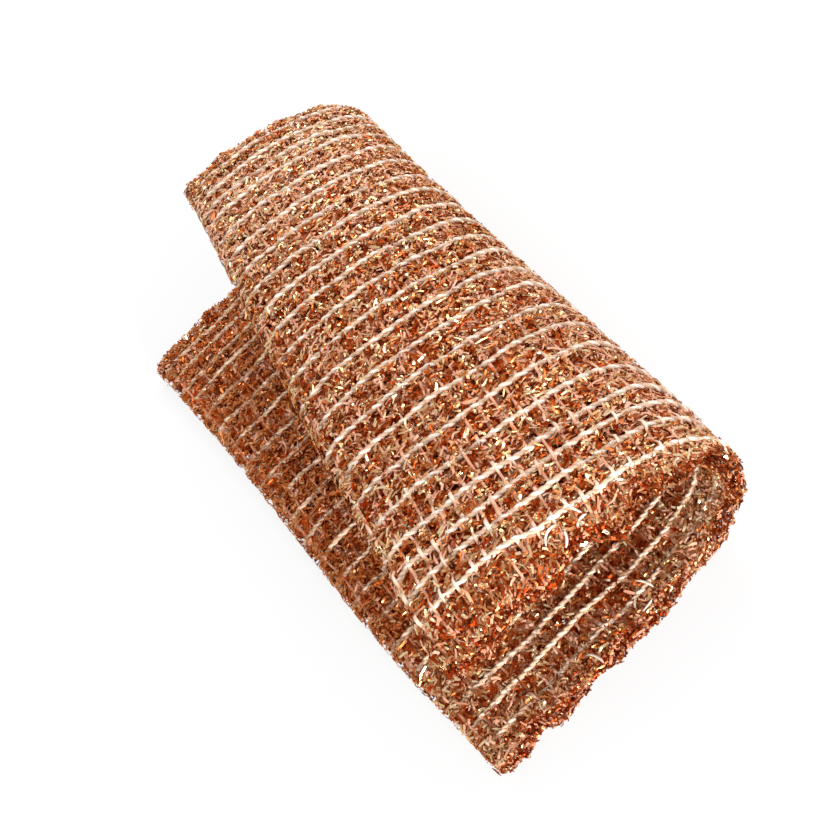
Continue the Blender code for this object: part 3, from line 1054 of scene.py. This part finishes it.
def add_floor():
    """Add a plain white floor that keeps a soft shadow."""
    half = FLOOR_HALF_SIDE
    mesh = bpy.data.meshes.new("studio_floor")
    corners = [(-half, -half, 0), (half, -half, 0), (half, half, 0), (-half, half, 0)]
    mesh.from_pydata(corners, [], [(0, 1, 2, 3)])
    floor = bpy.data.objects.new("studio_floor", mesh)
    bpy.context.scene.collection.objects.link(floor)
    material, nodes, links, shader = new_material("studio_paper")
    shader.inputs["Base Color"].default_value = (0.88, 0.88, 0.88, 1.0)
    shader.inputs["Roughness"].default_value = 0.9
    glow = nodes.new("ShaderNodeEmission")
    glow.inputs["Color"].default_value = (1.0, 1.0, 1.0, 1.0)
    rays = nodes.new("ShaderNodeLightPath").outputs
    seen = math_node(nodes, links, "MAXIMUM", rays["Is Camera Ray"], rays["Is Transmission Ray"])
    seen = math_node(nodes, links, "MAXIMUM", seen, rays["Is Glossy Ray"])
    mix = nodes.new("ShaderNodeMixShader")
    links.new(math_node(nodes, links, "MULTIPLY", seen, FLOOR_WHITENESS), mix.inputs["Fac"])
    links.new(shader.outputs[0], mix.inputs[1])
    links.new(glow.outputs[0], mix.inputs[2])
    links.new(mix.outputs[0], nodes["Material Output"].inputs["Surface"])
    mesh.materials.append(material)


def add_lamp(name, place_at, size, power):
    """Add a square soft lamp that points at the cloth."""
    data = bpy.data.lights.new(name, "AREA")
    data.shape = "SQUARE"
    data.size = size
    data.energy = power
    lamp = bpy.data.objects.new(name, data)
    lamp.location = place_at
    aim = Vector(LAMP_AIM) - Vector(place_at)
    lamp.rotation_mode = "QUATERNION"
    lamp.rotation_quaternion = aim.to_track_quat("-Z", "Y")
    bpy.context.scene.collection.objects.link(lamp)


def add_world():
    """Set a plain even surrounding light."""
    world = bpy.data.worlds.new("studio_world")
    bpy.context.scene.world = world
    world.use_nodes = True
    background = world.node_tree.nodes["Background"]
    background.inputs["Color"].default_value = (1.0, 1.0, 1.0, 1.0)
    background.inputs["Strength"].default_value = WORLD_STRENGTH


def add_camera():
    """Add the photograph's camera."""
    data = bpy.data.cameras.new("photo_camera")
    data.sensor_fit = "AUTO"
    data.sensor_width = CAMERA_SENSOR
    data.lens = CAMERA_FOCAL_PIXELS / PHOTO_LONG_SIDE * CAMERA_SENSOR
    data.clip_start, data.clip_end = 0.01, 20.0
    camera = bpy.data.objects.new("photo_camera", data)
    bpy.context.scene.collection.objects.link(camera)
    back = -Vector(CAMERA_AIM).normalized()
    right = Vector((0.0, 0.0, 1.0)).cross(back).normalized()
    up = back.cross(right)
    level = Matrix((right, up, back)).transposed().to_4x4()
    camera.matrix_world = (
        Matrix.Translation(CAMERA_PLACE) @ level @ Matrix.Rotation(-CAMERA_ROLL, 4, "Z")
    )
    bpy.context.scene.camera = camera


add_floor()
add_world()
for lamp_facts in LAMPS:
    add_lamp(*lamp_facts)
add_camera()
bpy.context.scene.view_settings.view_transform = "Standard"
